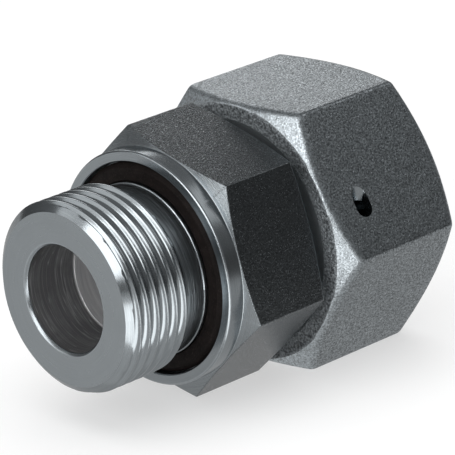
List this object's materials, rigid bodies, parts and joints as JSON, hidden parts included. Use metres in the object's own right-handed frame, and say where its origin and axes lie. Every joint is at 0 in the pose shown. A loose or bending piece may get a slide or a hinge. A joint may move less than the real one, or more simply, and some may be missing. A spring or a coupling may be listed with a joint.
{
  "type": "swivel adapter",
  "caption": "Straight hydraulic adapter with a metric stud end, a captive soft seal, a body hexagon and a wire-held swivel nut round a 24-degree cone end with O-ring.",
  "frame": {"origin": "on the bore's axis, in the plane of the collar face that meets the port", "axes": "+X along the bore from the stud to the nut, +Z the normal of one flat of the nut, so the nut rests on the opposite flat"},
  "size_m": [0.0677, 0.053, 0.046],
  "materials": {
    "body_steel": "bright zinc-nickel plated, turned",
    "seal_rubber": "matt black",
    "oring_rubber": "satin black",
    "wire_steel": "drawn and plated",
    "nut_steel": "forged, shot-blasted and plated"
  },
  "bodies": {
    "nut": {"swivel_nut": "nut_steel"},
    "body": {"stud_body": "body_steel", "stud_seal": "seal_rubber", "cone_oring": "oring_rubber", "retaining_wire": "wire_steel"}
  },
  "joints": [
    {"name": "swivel", "type": "hinge", "parent": "nut", "child": "body", "pos_m": [0.02975, 0, 0], "axis": [1, 0, 0], "continuous": true}
  ]
}
